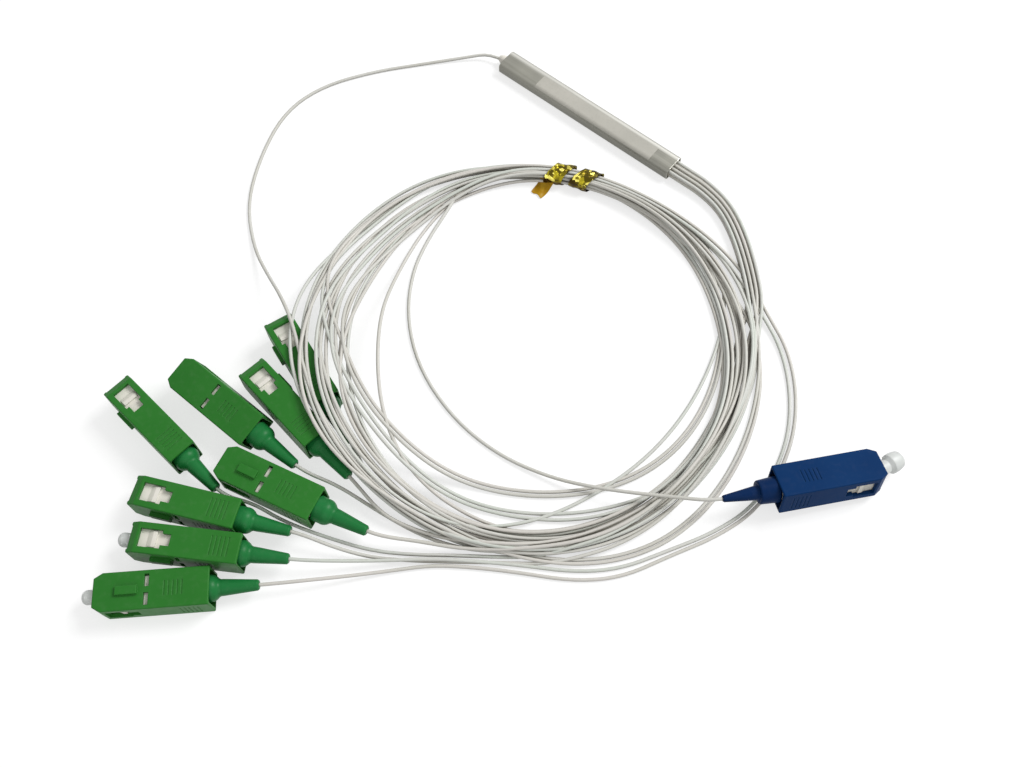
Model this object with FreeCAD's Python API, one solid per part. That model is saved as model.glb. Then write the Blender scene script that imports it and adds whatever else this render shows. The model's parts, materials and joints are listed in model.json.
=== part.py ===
"""Fibre splitter, one input to eight outputs, in a small steel tube.

The splitter chip sits in a flat steel tube.  One cord enters the tube and eight leave it, and all
nine end in square push-pull connectors.  Their spare length is wound into one coil with a foil tie.
The frame is the tube's own: origin under its middle, +X towards the eight outputs, +Z up.
Everything lies on the plane z = 0.  All sizes are in millimetres.
"""
import FreeCAD, Part
import math
import os

V = FreeCAD.Vector
os.makedirs("parts", exist_ok=True)

# ---- driving dimensions: splitter tube ----
TUBE_LENGTH, TUBE_WIDTH, TUBE_HEIGHT = 60.0, 7.0, 4.0
TUBE_WALL, TUBE_CORNER = 0.35, 1.4
LABEL_X0, LABEL_X1, LABEL_WIDTH, LABEL_THICK = -17.0, 23.5, 6.0, 0.1
PLUG_DEPTH, PLUG_GAP, HOLE_GAP = 4.0, 0.02, 0.05
INPUT_SOCKET = 1.5
NOSE_ROOT_R, NOSE_WAIST, NOSE_WAIST_R, NOSE_LENGTH, NOSE_TIP_R = 1.5, 1.3, 1.35, 2.4, 0.85
COMB_RECESS, COMB_SOCKET, RIBBON_SLOT_END = 0.4, 2.5, 2.9

# ---- driving dimensions: the chip and what holds it ----
CHIP_LENGTH, CHIP_WIDTH, CHIP_HEIGHT, CHIP_Z = 18.0, 2.6, 1.1, 2.15
ARRAY_LENGTH, ARRAY_HEIGHT = 5.0, 1.6
LID_GROOVE_WIDTH, LID_GROOVE_DEPTH = 0.3, 0.2
RIBBON_WIDTH, RIBBON_THICK = 2.1, 0.3
FIBRE_R, FIBRE_STRAIGHT_IN, FIBRE_STRAIGHT_OUT = 0.125, 4.0, 3.0
PAD_LENGTH, PAD_WIDTH, PAD_INSET = 6.0, 4.0, 0.4

# ---- driving dimensions: cords ----
CORD_R = 0.45
LANE_PITCH, ROW_PITCH, ROW_LOW_Z = 1.35, 1.4, 1.3
OUTPUTS = 8

# ---- driving dimensions: connectors, in x back from the grip's front face ----
GRIP_LENGTH, GRIP_WIDTH, GRIP_HEIGHT = 26.2, 9.0, 7.4
GRIP_EDGE = 0.35
CHAMFER_BACK, CHAMFER_IN = 2.0, 1.2
KEY_LENGTH, KEY_WIDTH, KEY_HEIGHT, KEY_FRONT, KEY_EDGE = 5.0, 2.1, 0.85, -5.2, 0.2
WINDOW_WIDE = (-8.0, -2.6, 4.4)
WINDOW_NARROW = (-10.0, -8.0, 2.8)
SLOT_FRONT, SLOT_LENGTH, SLOT_INNER, SLOT_OUTER = -11.5, 1.1, 0.7, 3.6
RIB_COUNT, RIB_PITCH, RIB_GROOVE, RIB_DEPTH = 5, 1.0, 0.3, 0.12
RIB_START_NARROW, RIB_START_WIDE, RIB_NARROW, RIB_WIDE = -19.3, -15.9, 4.6, 3.4
REAR_POCKET_DEPTH, REAR_POCKET_WIDTH, REAR_POCKET_HEIGHT, REAR_POCKET_EDGE = 4.9, 7.8, 6.7, 0.8
FRAME_WIDTH, FRAME_HEIGHT, FRAME_GAP, FRAME_CHAMFER = 6.7, 5.4, 0.15, 0.35
FRAME_FRONT, FRAME_REAR = -1.0, -15.5
CATCH_REAR, CATCH_TOP, CATCH_FRONT, CATCH_WIDTH, CATCH_HEIGHT, CATCH_SUNK = -6.6, -5.7, -4.2, 3.8, 0.55, 0.1
MOUTH_R, MOUTH_END = 2.3, -8.6
SEAT_R, SEAT_END = 1.7, -9.6
CHAMBER_R, CHAMBER_END = 2.4, -14.5
CORE_R, CORE_END = 1.3, -20.0
BARREL_R, BARREL_GAP, BARREL_END = 2.7, 0.2, -24.0
NECK_R, NECK_END, NECK_GAP = 2.0, -27.0, 0.05
FERRULE_R, FERRULE_TIP, TIP_BEVEL, TIP_TAPER = 1.25, -0.2, 0.25, 0.6
TIP_GRIND_ANGLE, TIP_GRIND_DEPTH = 8.0, 0.12
COLLAR_R, COLLAR_FRONT = 1.62, -8.75
FLANGE_R, FLANGE_FRONT, FLANGE_LENGTH, FLANGE_BEVEL = 2.2, -9.7, 2.0, 0.3
TAIL_R, TAIL_END = 0.95, -15.5
BOOT_R, BOOT_FRONT, BOOT_EDGE = 3.2, -24.2, 0.25
BOOT_TIP, BOOT_TIP_ROUND = -37.8, 0.35
BOOT_SOCKET_DEPTH, BOOT_SOCKET_R, BOOT_LEAVE = 1.5, 0.5, 2.6
CAP_R, CAP_GAP, CAP_BACK, CAP_ROOF = 1.73, 0.03, -6.6, 0.2

# A boot's outline behind its flange as (x, radius), and the radius of its tip.  The outputs' boots
# have a domed shoulder, and the input's has a longer flange that ends in a step.
BOOT_SHAPES = {
    "output": ([(-26.4, 3.15), (-27.7, 2.95, "via"), (-28.4, 2.45), (-28.75, 2.12, "via"),
                (-29.6, 1.95)], 1.3),
    "input": ([(-28.6, 2.9), (-28.98, 2.75, "via"), (-29.1, 2.4), (-29.2, 1.95, "via"),
               (-29.6, 1.75)], 0.85),
}
# A cap's bend in degrees and its outline in front of the grip: a short straight domed one, and one
# with a bulb to pull it by.
CAP_FRONTS = {
    "short": (0.0, [(2.0, CAP_R), (2.95, 1.4, "via"), (3.4, 0.7), (3.4, 0)]),
    "bulb": (20.0, [(2.6, CAP_R), (3.5, 2.45), (4.6, 2.5, "via"), (6.4, 2.2), (6.9, 1.7, "via"),
                    (7.1, 1.1), (7.1, 0)]),
}

# ---- how each connector lies: front centre x, y, heading of its rear, roll about its own axis ----
# Roll 0 has the key on top, 180 has it underneath and +-90 has it at one side.  A connector with
# its key underneath rocks over until one bottom edge touches too, and the input's tail end is
# also held up by the cords that pass under it.
ROCK = math.degrees(math.atan(KEY_HEIGHT / (GRIP_WIDTH / 2 - KEY_WIDTH / 2)))
CONNECTORS = {
    # name: (x, y, rear heading, roll, nose down, boot set back, cap)
    "output_1": (-18.7, -105.15, -18.4, -90.0, 0.0, 0.0, None),
    "output_2": (-14.4, -118.9, -7.5, 90.0, 0.0, 0.0, None),
    "output_3": (-28.0, -130.0, 0.1, 180.0 - ROCK, 0.0, 1.4, None),
    "output_4": (-36.5, -143.25, -4.4, -90.0, 0.0, -0.4, None),
    "output_5": (-2.75, -140.55, 14.0, 0.0, 0.0, 1.5, None),
    "output_6": (-12.9, -159.05, 25.5, -90.0, 0.0, 0.7, None),
    "output_7": (-4.9, -167.35, 32.6, -90.0, 0.0, -0.9, "short"),
    "output_8": (-1.7, -181.5, 43.7, 0.0, 0.0, -1.0, "short"),
    "input": (120.3, -42.4, -129.2, 180.0 - ROCK, 3.0, 1.5, "bulb"),
}

# ---- coil: centre, and its section at each angle (angle, inner r, outer r, low z, high z) ----
COIL_X, COIL_Y = 31.0, -67.0
COIL_STEP = 10
COIL_SECTIONS = [
    (0, 51.3, 57.8, 0.0, 3.8),
    (20, 52.0, 59.4, 0.0, 3.6),
    (35, 49.4, 61.6, 0.0, 3.2),
    (50, 48.4, 63.0, 0.0, 3.0),
    (65, 48.8, 60.8, 0.0, 3.2),
    (80, 49.9, 56.8, 0.1, 4.2),
    (97, 49.9, 54.7, 0.36, 4.9),
    (120, 49.9, 54.7, 0.36, 4.9),
    (135, 47.8, 55.4, 0.1, 4.2),
    (150, 45.6, 56.8, 0.0, 3.2),
    (170, 43.4, 57.4, 0.0, 2.8),
    (188, 43.2, 58.2, 0.6, 3.2),
    (202, 43.4, 59.6, 4.6, 7.2),
    (214, 44.4, 60.2, 9.5, 11.8),
    (252, 46.6, 59.8, 9.6, 11.9),
    (266, 48.2, 57.8, 5.2, 7.9),
    (281, 49.4, 57.4, 0.4, 3.8),
    (300, 50.6, 59.2, 0.0, 3.4),
    (320, 51.2, 59.6, 0.0, 3.4),
    (340, 51.4, 59.3, 0.0, 3.6),
    (360, 51.3, 57.8, 0.0, 3.8),
]

# ---- twist tie ----
TIE_ANGLES = (110.4, 119.0)
TIE_WIDTH, TIE_FOIL, TIE_GAP, TIE_SLANT = 4.2, 0.3, 0.02, 24.0
TIE_TAIL_WIDTH, TIE_TAIL_LENGTH, TIE_TAIL_LOW_Z = 3.6, 8.0, 0.05

# ---- routes of the cords where they aren't coiled, in x, y, z ----
LEAD_MIDDLE = [(30.0, 0.0), (34.0, 0.1), (40.0, 0.3), (48.0, -1.2), (56.0, -6.0), (64.5, -13.4),
               (71.6, -21.0)]
LEAD_SPREAD = [1.0, 1.0, 0.98, 0.94, 0.92, 0.90, 0.88]
LEAD_DROP = [0.0, -0.1, -0.4, -0.7, -0.75, -0.75, -0.7]
INPUT_LEAD = [
    (-35.2, 0.0, 2.0), (-41.2, -6.0, 1.0), (-49.2, -15.0, 0.45),
    (-58.6, -26.4, 0.45), (-66.6, -40.0, 0.45), (-68.4, -53.5, 0.45), (-63.0, -68.5, 0.45),
    (-54.5, -82.5, 0.45), (-42.5, -91.8, 0.6), (-31.0, -96.4, 3.4), (-20.5, -98.6, 8.8),
]
INPUT_TAIL = [
    (-11.2, -43.5, 1.8), (-9.6, -51.0, 1.3), (-8.2, -60.0, 0.45), (-4.6, -70.5, 0.45),
    (3.4, -81.6, 0.45), (15.6, -90.6, 0.45), (31.5, -95.6, 0.45), (46.5, -95.9, 0.45),
    (60.0, -92.6, 1.2), (70.5, -88.2, 3.2), (79.0, -83.6, 4.5), (86.5, -79.0, 5.3),
]
OUTPUT_TAILS = {
    1: [(43.0, -120.9, 1.4), (34.5, -122.0, 1.9), (27.4, -121.4, 3.2)],
    2: [(50.5, -120.2, 1.3), (42.0, -123.8, 1.6), (34.6, -125.6, 3.0)],
    3: [(65.5, -112.2, 1.9), (56.0, -119.0, 0.7), (45.5, -123.2, 0.45), (33.5, -125.3, 0.9),
        (22.0, -127.0, 3.3)],
    4: [(68.9, -110.6, 0.5), (61.9, -116.6, 0.45), (54.7, -121.9, 0.45), (46.5, -127.6, 0.45),
        (37.5, -133.2, 0.45), (26.0, -138.9, 0.8), (17.5, -141.7, 2.2), (9.6, -143.1, 3.6)],
    5: [(64.5, -112.6, 2.9), (55.0, -119.8, 1.7), (46.0, -124.9, 2.2)],
    6: [(71.0, -111.0, 0.5), (64.4, -116.9, 0.45), (57.2, -122.2, 0.45), (48.9, -128.1, 0.45),
        (40.6, -133.6, 0.9), (31.5, -138.8, 2.9)],
    7: [(75.6, -23.0, 1.2), (83.5, -27.2, 0.6), (91.5, -35.0, 0.45), (98.2, -45.6, 0.45),
        (101.2, -57.0, 0.45), (101.6, -68.0, 0.45), (98.6, -78.6, 0.45), (93.2, -89.4, 0.45),
        (86.4, -100.4, 0.45), (77.0, -109.4, 0.45), (66.4, -116.9, 0.45), (56.4, -124.3, 0.45),
        (46.2, -131.9, 1.3), (36.2, -139.6, 3.1)],
    8: [(76.8, -22.2, 1.2), (84.8, -26.2, 0.6), (92.9, -34.2, 0.45), (99.6, -45.2, 0.45),
        (102.7, -56.8, 0.45), (103.1, -68.2, 0.45), (99.9, -79.2, 0.45), (94.4, -90.2, 0.45),
        (87.6, -101.4, 0.45), (78.0, -110.9, 0.45), (67.0, -118.8, 0.45), (57.4, -125.9, 0.45),
        (47.8, -133.6, 0.5), (38.6, -143.0, 1.7), (32.6, -149.4, 3.2)],
}


def box(x0, x1, y0, y1, z0, z1):
    """Box between two opposite corners."""
    return Part.makeBox(x1 - x0, y1 - y0, z1 - z0, V(x0, y0, z0))


def rod(radius, x0, x1, y=0.0, z=0.0):
    """Solid cylinder along X."""
    return Part.makeCylinder(radius, abs(x1 - x0), V(min(x0, x1), y, z), V(1, 0, 0))


def prism(points, z0, z1):
    """Plan outline (x, y) raised from z0 to z1."""
    ring = [V(x, y, z0) for x, y in points]
    return Part.Face(Part.makePolygon(ring + ring[:1])).extrude(V(0, 0, z1 - z0))


def turned(outline):
    """Half outline (x, radius) revolved about X; an arc passes through each point marked "via"."""
    spots = [V(*point[:2], 0) for point in outline + outline[:1]]
    edges, n = [], 0
    while n < len(outline):
        if len((outline + outline[:1])[n + 1]) == 3:
            edges.append(Part.Arc(spots[n], spots[n + 1], spots[n + 2]).toShape())
            n += 2
        else:
            edges.append(Part.LineSegment(spots[n], spots[n + 1]).toShape())
            n += 1
    return Part.Face(Part.Wire(edges)).revolve(V(0, 0, 0), V(1, 0, 0), 360)


def rounded_bar(length, width, height, radius, z0):
    """Bar along X, centred on X and Y, with its four long edges rounded."""
    bar = box(-length / 2, length / 2, -width / 2, width / 2, z0, z0 + height)
    long_edges = [e for e in bar.Edges if abs(e.Length - length) < 1e-6 and e.BoundBox.XLength > 1]
    return bar.makeFillet(radius, long_edges)


# ---- splitter tube ----
def steel_tube():
    outer = rounded_bar(TUBE_LENGTH, TUBE_WIDTH, TUBE_HEIGHT, TUBE_CORNER, 0.0)
    return outer.cut(tube_bore(0.0))


def tube_bore(gap):
    """Inside of the tube, made smaller all round by a gap."""
    wall = TUBE_WALL + gap
    return rounded_bar(TUBE_LENGTH, TUBE_WIDTH - 2 * wall, TUBE_HEIGHT - 2 * wall, TUBE_CORNER - wall, wall)


def label():
    """Label stuck round the top of the tube and over its rounded edges."""
    thick, half = LABEL_THICK, LABEL_WIDTH / 2
    skin = rounded_bar(TUBE_LENGTH, TUBE_WIDTH + 2 * thick, TUBE_HEIGHT + 2 * thick,
                       TUBE_CORNER + thick, -thick)
    skin = skin.cut(rounded_bar(TUBE_LENGTH, TUBE_WIDTH, TUBE_HEIGHT, TUBE_CORNER, 0.0))
    return skin.common(box(LABEL_X0, LABEL_X1, -half, half, TUBE_HEIGHT - TUBE_CORNER, 2 * TUBE_HEIGHT))


def input_end_plug():
    """White plug with a tapered nose that the input cord comes out of."""
    end, axis_z = -TUBE_LENGTH / 2, TUBE_HEIGHT / 2
    plug = tube_bore(PLUG_GAP).common(box(end, end + PLUG_DEPTH, -TUBE_WIDTH, TUBE_WIDTH, 0, TUBE_HEIGHT))
    nose = turned([(0, 0), (0, NOSE_ROOT_R), (-NOSE_WAIST, NOSE_WAIST_R), (-NOSE_LENGTH, NOSE_TIP_R),
                   (-NOSE_LENGTH, 0)])
    nose.translate(V(end, 0, axis_z))
    socket = rod(CORD_R + HOLE_GAP, end - NOSE_LENGTH, end + INPUT_SOCKET, 0, axis_z)
    bore = rod(FIBRE_R + HOLE_GAP, end + INPUT_SOCKET, end + PLUG_DEPTH, 0, axis_z)
    return plug.fuse(nose).removeSplitter().cut(socket).cut(bore)


def lane_places():
    """Place (y, z) of each output's hole, numbered along the upper row and then the lower."""
    places = []
    for row in (ROW_LOW_Z + ROW_PITCH, ROW_LOW_Z):
        for lane in range(4):
            places.append(((1.5 - lane) * LANE_PITCH, row))
    return places


def output_end_plug():
    """Comb that holds eight cords in two rows, with the fibre ribbon let in behind them."""
    end = TUBE_LENGTH / 2 - COMB_RECESS
    plug = tube_bore(PLUG_GAP).common(box(end - PLUG_DEPTH, end, -TUBE_WIDTH, TUBE_WIDTH, 0, TUBE_HEIGHT))
    for y, z in lane_places():
        plug = plug.cut(rod(CORD_R + HOLE_GAP, end - COMB_SOCKET, end, y, z))
    half, mid = RIBBON_WIDTH / 2 + HOLE_GAP, RIBBON_THICK / 2 + HOLE_GAP
    return plug.cut(box(end - PLUG_DEPTH, end - RIBBON_SLOT_END, -half, half, CHIP_Z - mid, CHIP_Z + mid))


def chip_block(x0, x1, height):
    """Glass block with its lid groove, on the chip's axis."""
    half, top = CHIP_WIDTH / 2, CHIP_Z + height / 2
    block = box(x0, x1, -half, half, CHIP_Z - height / 2, top)
    groove = box(x0, x1, -LID_GROOVE_WIDTH / 2, LID_GROOVE_WIDTH / 2, top - LID_GROOVE_DEPTH, top)
    return block.cut(groove)


def chip_cushion():
    """Two soft pads under the chip, on the tube's floor."""
    top = CHIP_Z - CHIP_HEIGHT / 2
    middle = CHIP_LENGTH / 2 - PAD_LENGTH / 2 - PAD_INSET
    return Part.Compound([
        box(x - PAD_LENGTH / 2, x + PAD_LENGTH / 2, -PAD_WIDTH / 2, PAD_WIDTH / 2, TUBE_WALL, top)
        for x in (-middle, middle)])


def fibre(x0, x1):
    """Bare fibre from the end plug up to the chip's axis."""
    low = TUBE_HEIGHT / 2
    points = [V(x0, 0, low), V(x0 + FIBRE_STRAIGHT_IN, 0, low), V(x1 - FIBRE_STRAIGHT_OUT, 0, CHIP_Z),
              V(x1, 0, CHIP_Z)]
    return tube_along(points, FIBRE_R)[0]


def module_parts():
    half = CHIP_LENGTH / 2
    plug_in = -TUBE_LENGTH / 2 + INPUT_SOCKET
    plug_out = TUBE_LENGTH / 2 - COMB_RECESS - RIBBON_SLOT_END
    return {
        "steel_tube": steel_tube(),
        "label": label(),
        "input_end_plug": input_end_plug(),
        "output_end_plug": output_end_plug(),
        "plc_chip": chip_block(-half, half, CHIP_HEIGHT),
        "input_fibre_array": chip_block(-half - ARRAY_LENGTH, -half, ARRAY_HEIGHT),
        "output_fibre_array": chip_block(half, half + ARRAY_LENGTH, ARRAY_HEIGHT),
        "input_fibre": fibre(plug_in, -half - ARRAY_LENGTH),
        "output_fibre_ribbon": box(half + ARRAY_LENGTH, plug_out, -RIBBON_WIDTH / 2, RIBBON_WIDTH / 2,
                                   CHIP_Z - RIBBON_THICK / 2, CHIP_Z + RIBBON_THICK / 2),
        "chip_cushion": chip_cushion(),
    }


# ---- connectors, each in its own frame: +X out of the front, front face of the grip at x = 0 ----
def grip_housing(slotted):
    """Sliding outer shell with its key, windows and finger ribs; the outputs' also has slots."""
    half_w, half_h = GRIP_WIDTH / 2, GRIP_HEIGHT / 2
    nose = half_w - CHAMFER_IN
    grip = prism([(0, nose), (-CHAMFER_BACK, half_w), (-GRIP_LENGTH, half_w), (-GRIP_LENGTH, -half_w),
                  (-CHAMFER_BACK, -half_w), (0, -nose)], -half_h, half_h)
    grip = grip.makeFillet(GRIP_EDGE, grip.Edges)
    grip = grip.fuse(key_bar()).removeSplitter()
    for cutter in grip_hollows() + grip_windows() + finger_ribs() + (grip_slots() if slotted else []):
        grip = grip.cut(cutter)
    return grip


def key_bar():
    """Key on the wide side, sunk a little way into the shell."""
    base, top = GRIP_HEIGHT / 2 - KEY_EDGE, GRIP_HEIGHT / 2 + KEY_HEIGHT
    bar = box(KEY_FRONT - KEY_LENGTH, KEY_FRONT, -KEY_WIDTH / 2, KEY_WIDTH / 2, base, top)
    return bar.makeFillet(KEY_EDGE, [e for e in bar.Edges if e.BoundBox.ZMin > base + KEY_EDGE])


def grip_hollows():
    """Square room for the plug frame, round room for its barrel, pocket for the boot's flange."""
    y, z = FRAME_WIDTH / 2 + FRAME_GAP, FRAME_HEIGHT / 2 + FRAME_GAP
    deep = FRAME_REAR - FRAME_GAP
    half_w, half_h = REAR_POCKET_WIDTH / 2, REAR_POCKET_HEIGHT / 2
    pocket = box(-2 * GRIP_LENGTH, REAR_POCKET_DEPTH - GRIP_LENGTH, -half_w, half_w, -half_h, half_h)
    lengthwise = [e for e in pocket.Edges if e.BoundBox.XLength > GRIP_LENGTH / 2]
    return [box(deep, GRIP_EDGE, -y, y, -z, z), rod(BARREL_R + BARREL_GAP, -GRIP_LENGTH, deep),
            pocket.makeFillet(REAR_POCKET_EDGE, lengthwise)]


def grip_windows():
    """Stepped window through both narrow sides."""
    return [box(x0, x1, -GRIP_WIDTH, GRIP_WIDTH, -width / 2, width / 2)
            for x0, x1, width in (WINDOW_WIDE, WINDOW_NARROW)]


def grip_slots():
    """Two cross slots through each wide side, behind the key."""
    return [box(SLOT_FRONT - SLOT_LENGTH, SLOT_FRONT, y0, y1, -GRIP_HEIGHT, GRIP_HEIGHT)
            for y0, y1 in ((SLOT_INNER, SLOT_OUTER), (-SLOT_OUTER, -SLOT_INNER))]


def finger_ribs():
    """Shallow cross grooves near the rear, on all four sides."""
    y, z = GRIP_WIDTH / 2 - RIB_DEPTH, GRIP_HEIGHT / 2 - RIB_DEPTH
    core = box(-GRIP_LENGTH, 0, -y, y, -z, z)
    grooves = []
    for n in range(RIB_COUNT):
        wide, narrow = RIB_START_WIDE - n * RIB_PITCH, RIB_START_NARROW - n * RIB_PITCH
        grooves.append(box(wide - RIB_GROOVE, wide, -RIB_WIDE / 2, RIB_WIDE / 2, -GRIP_HEIGHT, GRIP_HEIGHT))
        grooves.append(box(narrow - RIB_GROOVE, narrow, -GRIP_WIDTH, GRIP_WIDTH,
                           -RIB_NARROW / 2, RIB_NARROW / 2))
    return [groove.cut(core) for groove in grooves]


def plug_frame(set_back):
    """Inner frame that snaps into the adaptor, with the stop ring and barrel behind it."""
    y, z = FRAME_WIDTH / 2, FRAME_HEIGHT / 2
    body = box(FRAME_REAR, FRAME_FRONT, -y, y, -z, z)
    front_edges = [e for e in body.Edges if e.BoundBox.XMin > FRAME_FRONT - FRAME_CHAMFER]
    body = body.makeChamfer(FRAME_CHAMFER, front_edges)
    for side in (1, -1):
        foot, crest = side * (y - CATCH_SUNK), side * (y + CATCH_HEIGHT)
        low = -CATCH_WIDTH / 2
        ramp = [V(CATCH_REAR, foot, low), V(CATCH_REAR, crest, low), V(CATCH_TOP, crest, low),
                V(CATCH_FRONT, foot, low)]
        body = body.fuse(Part.Face(Part.makePolygon(ramp + ramp[:1])).extrude(V(0, 0, CATCH_WIDTH)))
    body = body.fuse(rod(BARREL_R, BARREL_END - set_back, FRAME_REAR))
    body = body.fuse(rod(NECK_R - NECK_GAP, NECK_END + NECK_GAP - set_back, BARREL_END - set_back))
    for radius, start, end in ((MOUTH_R, 0, MOUTH_END), (SEAT_R, MOUTH_END, SEAT_END),
                               (CHAMBER_R, SEAT_END, CHAMBER_END), (CORE_R, CHAMBER_END, CORE_END)):
        body = body.cut(rod(radius, end, start))
    return body


def ferrule(ground):
    """Ceramic ferrule with its collar, flange and tail; the outputs' tips are ground at an angle."""
    flange_rear = FLANGE_FRONT - FLANGE_LENGTH
    body = turned([
        (TAIL_END, 0), (TAIL_END, TAIL_R), (flange_rear, TAIL_R), (flange_rear, FLANGE_R),
        (FLANGE_FRONT - FLANGE_BEVEL, FLANGE_R), (FLANGE_FRONT, FLANGE_R - FLANGE_BEVEL),
        (FLANGE_FRONT, COLLAR_R), (COLLAR_FRONT, COLLAR_R), (COLLAR_FRONT, FERRULE_R),
        (FERRULE_TIP - TIP_TAPER, FERRULE_R), (FERRULE_TIP, FERRULE_R - TIP_BEVEL), (FERRULE_TIP, 0)])
    if ground:
        wheel = box(0, 2 * FERRULE_R, -2 * FERRULE_R, 2 * FERRULE_R, -2 * FERRULE_R, 2 * FERRULE_R)
        wheel.rotate(V(0, 0, 0), V(0, 1, 0), TIP_GRIND_ANGLE)
        wheel.translate(V(FERRULE_TIP - TIP_GRIND_DEPTH, 0, 0))
        body = body.cut(wheel)
    return body


def boot(shape, set_back):
    """Rubber boot: flange, shoulder and tapered sleeve, with a socket for the cord."""
    shoulder, tip_r = BOOT_SHAPES[shape]
    socket = BOOT_TIP + BOOT_SOCKET_DEPTH
    body = turned([
        (NECK_END, 0), (NECK_END, NECK_R), (BOOT_FRONT, NECK_R), (BOOT_FRONT, BOOT_R - BOOT_EDGE),
        (BOOT_FRONT - BOOT_EDGE, BOOT_R)] + shoulder + [
        (BOOT_TIP + BOOT_TIP_ROUND, tip_r), (BOOT_TIP, tip_r - BOOT_TIP_ROUND + HOLE_GAP),
        (BOOT_TIP, BOOT_SOCKET_R), (socket, BOOT_SOCKET_R), (socket, 0)])
    body.translate(V(-set_back, 0, 0))
    return body


def dust_cap(kind):
    """Soft cap pushed over the ferrule, with its front part bent a little to one side."""
    bend, outline = CAP_FRONTS[kind]
    joint = V(CAP_ROOF, 0, 0)
    front = turned([(CAP_ROOF, 0), (CAP_ROOF, CAP_R)] + outline)
    front.rotate(joint, V(0, 0, 1), -bend)
    cap = rod(CAP_R, CAP_BACK, CAP_ROOF).fuse([front, Part.makeSphere(CAP_R, joint)])
    return cap.cut(rod(FERRULE_R + CAP_GAP, CAP_BACK, CAP_ROOF))


def placed(shape, name, lift):
    """Shape moved from the connector's own frame to where that connector lies."""
    x, y, heading, roll, nose_down = CONNECTORS[name][:5]
    moved = shape.copy()
    moved.rotate(V(0, 0, 0), V(1, 0, 0), roll)
    moved.rotate(V(0, 0, 0), V(0, 1, 0), nose_down)
    moved.rotate(V(0, 0, 0), V(0, 0, 1), heading + 180.0)
    moved.translate(V(x, y, lift))
    return moved


def connector_parts():
    """Nine connectors, and the two points of each one's boot that its cord runs through."""
    parts, exits = {}, {}
    grips = {"output": grip_housing(True), "input": grip_housing(False)}
    for name, place in CONNECTORS.items():
        set_back, cap = place[5:]
        kind = name.split("_")[0]
        lift = -placed(grips[kind], name, 0.0).optimalBoundingBox(False).ZMin
        parts[name + "_grip"] = placed(grips[kind], name, lift)
        parts[name + "_plug_frame"] = placed(plug_frame(set_back), name, lift)
        parts[name + "_ferrule"] = placed(ferrule(kind == "output"), name, lift)
        parts[name + "_boot"] = placed(boot(kind, set_back), name, lift)
        if cap:
            parts[name + "_dust_cap"] = placed(dust_cap(cap), name, lift)
        exits[name] = [placed(Part.Vertex(V(x - set_back, 0, 0)), name, lift).Point
                       for x in (BOOT_TIP + BOOT_SOCKET_DEPTH, BOOT_TIP - BOOT_LEAVE)]
    return parts, exits


# ---- cords ----
def bend_radius(before, corner, after):
    """Largest radius allowed at a corner: 0.45 of its shorter run over tan(half the turn)."""
    a, b = corner - before, after - corner
    turn = a.getAngle(b)
    return 0.45 * min(a.Length, b.Length) / math.tan(turn / 2), turn


def tube_along(points, radius):
    """Tube along straight runs joined by tangent arcs; gives its solid, length and least radius."""
    edges, start, least = [], points[0], 1e9
    for before, corner, after in zip(points, points[1:], points[2:]):
        bend, turn = bend_radius(before, corner, after)
        back = (before - corner).normalize()
        ahead = (after - corner).normalize()
        reach = bend * math.tan(turn / 2)
        first, last = corner + back * reach, corner + ahead * reach
        inward = (back + ahead).normalize()
        middle = corner + inward * (bend / math.cos(turn / 2) - bend)
        edges.append(Part.LineSegment(start, first).toShape())
        edges.append(Part.Arc(first, middle, last).toShape())
        start, least = last, min(least, bend)
    edges.append(Part.LineSegment(start, points[-1]).toShape())
    path = Part.Wire(edges)
    ring = Part.Wire(Part.Circle(points[0], points[1] - points[0], radius).toShape())
    return path.makePipeShell([ring], True, False), path.Length, least


def output_lead(number):
    """Points of one output from its hole in the comb to where it joins the coil."""
    lane, row = lane_places()[number - 1]
    points = []
    count = len(LEAD_MIDDLE)
    for n, (x, y) in enumerate(LEAD_MIDDLE):
        x0, y0 = LEAD_MIDDLE[max(n - 1, 0)]
        x1, y1 = LEAD_MIDDLE[min(n + 1, count - 1)]
        along = V(x1 - x0, y1 - y0, 0).normalize()
        side = lane * LEAD_SPREAD[n]
        points.append(V(x - along.y * side, y + along.x * side, row + LEAD_DROP[n]))
    points[0] = V(TUBE_LENGTH / 2 - COMB_RECESS - COMB_SOCKET, lane, row)
    points[1].y, points[1].z = lane, row
    return points


def cord_routes(exits):
    """Every stretch that isn't coiled: name -> list of routes."""
    routes = {}
    for number in range(1, OUTPUTS + 1):
        socket, outside = exits[f"output_{number}"]
        tail = [V(*p) for p in OUTPUT_TAILS[number]] + [outside, socket]
        routes[f"output_cord_{number}"] = [output_lead(number), tail]
    socket, outside = exits["input"]
    lead = [V(-TUBE_LENGTH / 2 + INPUT_SOCKET, 0, TUBE_HEIGHT / 2)] + [V(*p) for p in INPUT_LEAD]
    routes["input_cord"] = [lead, [V(*p) for p in INPUT_TAIL] + [outside, socket]]
    return routes


def cord_parts(exits):
    parts = {}
    for name, routes in cord_routes(exits).items():
        solids = []
        for route in routes:
            solid, length, least = tube_along(route, CORD_R)
            ratio = solid.Volume / (math.pi * CORD_R ** 2 * length)
            print(f"{name}: length {length:.1f}, least radius {least:.1f}, volume ratio {ratio:.4f}")
            solids.append(solid)
        parts[name] = Part.Compound(solids)
    return parts


def coil_section(angle, r0, r1, z0, z1):
    """Oval section of the coil at one angle about its centre."""
    ring = Part.Wire(Part.Ellipse(V(0, 0, 0), (r1 - r0) / 2, (z1 - z0) / 2).toShape())
    ring.rotate(V(0, 0, 0), V(1, 0, 0), 90)
    ring.translate(V((r0 + r1) / 2, 0, (z0 + z1) / 2))
    ring.rotate(V(0, 0, 0), V(0, 0, 1), angle)
    ring.translate(V(COIL_X, COIL_Y, 0))
    return ring


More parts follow.
